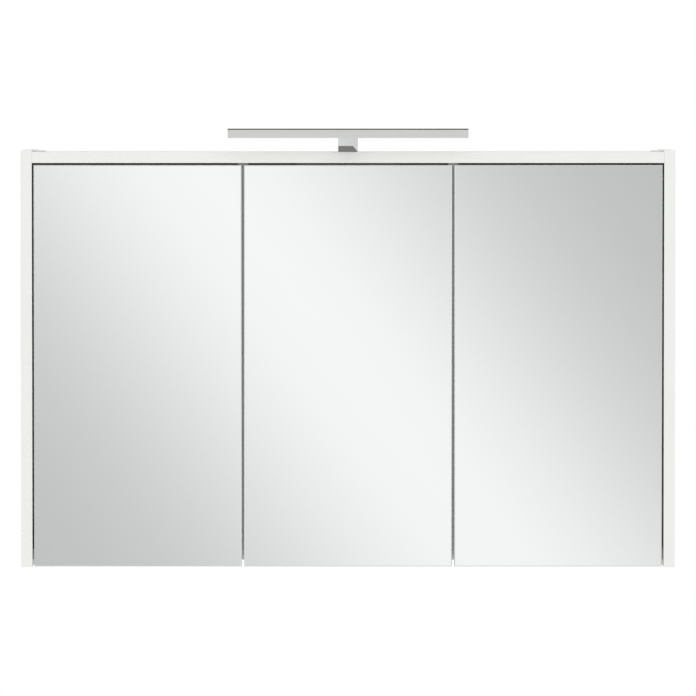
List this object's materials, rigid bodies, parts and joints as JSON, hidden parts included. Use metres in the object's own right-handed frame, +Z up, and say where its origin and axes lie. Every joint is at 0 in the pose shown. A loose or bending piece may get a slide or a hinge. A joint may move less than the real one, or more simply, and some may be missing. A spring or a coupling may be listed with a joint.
{
  "type": "mirror cabinet",
  "caption": "Wall-hung bathroom mirror cabinet: hinged mirror doors over a white carcass, glass shelves inside and a slim lamp reaching forward over the doors.",
  "frame": {"origin": "on the wall plane at mid width, on the lower rear edge of the bottom panel", "axes": "+X to the viewer's right seen from the front, +Y into the wall, +Z up; the doors face -Y"},
  "size_m": [1, 0.29, 0.6706],
  "materials": {
    "white_board": "white melamine-faced chipboard",
    "white_hardboard": "white lacquered hardboard",
    "mirror_glass": "silvered float glass, ground edges",
    "shelf_glass": "clear float glass, ground edges",
    "zinc_casting": "die-cast zinc",
    "zinc_steel": "bright zinc-plated steel",
    "nickel_steel": "pressed steel, nickel-plated",
    "chrome": "polished chrome plating",
    "smoked_chrome": "black chrome plating, glossy",
    "satin_aluminium": "satin anodised extrusion",
    "dark_plate": "dark anodised, satin",
    "beech": "turned beech",
    "white_plastic": "moulded ABS",
    "socket_plastic": "moulded thermoset, glossy",
    "grey_plastic": "moulded ABS",
    "opal_plastic": "opal acrylic",
    "led_board": "white-masked circuit strip with chips",
    "clear_rubber": "soft clear polyurethane",
    "grey_rubber": "moulded rubber",
    "lead_sheath": "white flexible sheath"
  },
  "bodies": {
    "carcass": {"back_panel": "white_hardboard", "bottom_panel": "white_board", "cable_grommet": "grey_rubber", "cam_bolts": "zinc_steel", "cam_caps": "white_plastic", "cam_locks": "zinc_casting", "door_bumpers": "clear_rubber", "dowels": "beech", "hanger_hooks": "zinc_steel", "hanger_housings": "white_plastic", "hanger_screws": "zinc_steel", "hinge_arm_screws": "zinc_steel", "hinge_arms_left": "nickel_steel", "hinge_arms_middle": "nickel_steel", "hinge_arms_right": "nickel_steel", "hinge_plate_screws": "zinc_steel", "hinge_plates": "nickel_steel", "lamp_arm": "chrome", "lamp_diffuser": "opal_plastic", "lamp_end_caps": "grey_plastic", "lamp_foot": "smoked_chrome", "lamp_housing": "satin_aluminium", "lamp_lead": "lead_sheath", "lamp_screws": "zinc_steel", "lamp_top_plate": "dark_plate", "led_driver": "grey_plastic", "led_strip": "led_board", "partition_left": "white_board", "partition_right": "white_board", "partition_screws": "zinc_steel", "power_box_base": "white_plastic", "power_box_cover": "white_plastic", "power_box_screws": "zinc_steel", "shelf_left_lower": "shelf_glass", "shelf_left_upper": "shelf_glass", "shelf_middle_lower": "shelf_glass", "shelf_middle_upper": "shelf_glass", "shelf_pins": "nickel_steel", "shelf_right_lower": "shelf_glass", "shelf_right_upper": "shelf_glass", "side_panel_left": "white_board", "side_panel_right": "white_board", "socket_insert": "socket_plastic", "top_panel": "white_board"},
    "door_left": {"door_board_left": "white_board", "door_mirror_left": "mirror_glass", "hinge_cups_left": "nickel_steel", "hinge_pins_left": "zinc_steel", "cup_screws_left": "zinc_steel"},
    "door_middle": {"door_board_middle": "white_board", "door_mirror_middle": "mirror_glass", "hinge_cups_middle": "nickel_steel", "hinge_pins_middle": "zinc_steel", "cup_screws_middle": "zinc_steel"},
    "door_right": {"door_board_right": "white_board", "door_mirror_right": "mirror_glass", "hinge_cups_right": "nickel_steel", "hinge_pins_right": "zinc_steel", "cup_screws_right": "zinc_steel"},
    "rocker": {"switch_rocker": "socket_plastic"}
  },
  "joints": [
    {"name": "door_left_hinge", "type": "hinge", "parent": "carcass", "child": "door_left", "pos_m": [-0.4701, -0.1915, 0.29825], "axis": [0, 0, -1], "range_deg": [0, 95]},
    {"name": "door_middle_hinge", "type": "hinge", "parent": "carcass", "child": "door_middle", "pos_m": [-0.1485, -0.1915, 0.29825], "axis": [0, 0, -1], "range_deg": [0, 95]},
    {"name": "door_right_hinge", "type": "hinge", "parent": "carcass", "child": "door_right", "pos_m": [0.4701, -0.1915, 0.29825], "axis": [0, 0, 1], "range_deg": [0, 95]},
    {"name": "rocker_tilt", "type": "hinge", "parent": "carcass", "child": "rocker", "pos_m": [0.042, -0.124, 0.5785], "axis": [1, 0, 0], "range_deg": [-12, 0]}
  ]
}
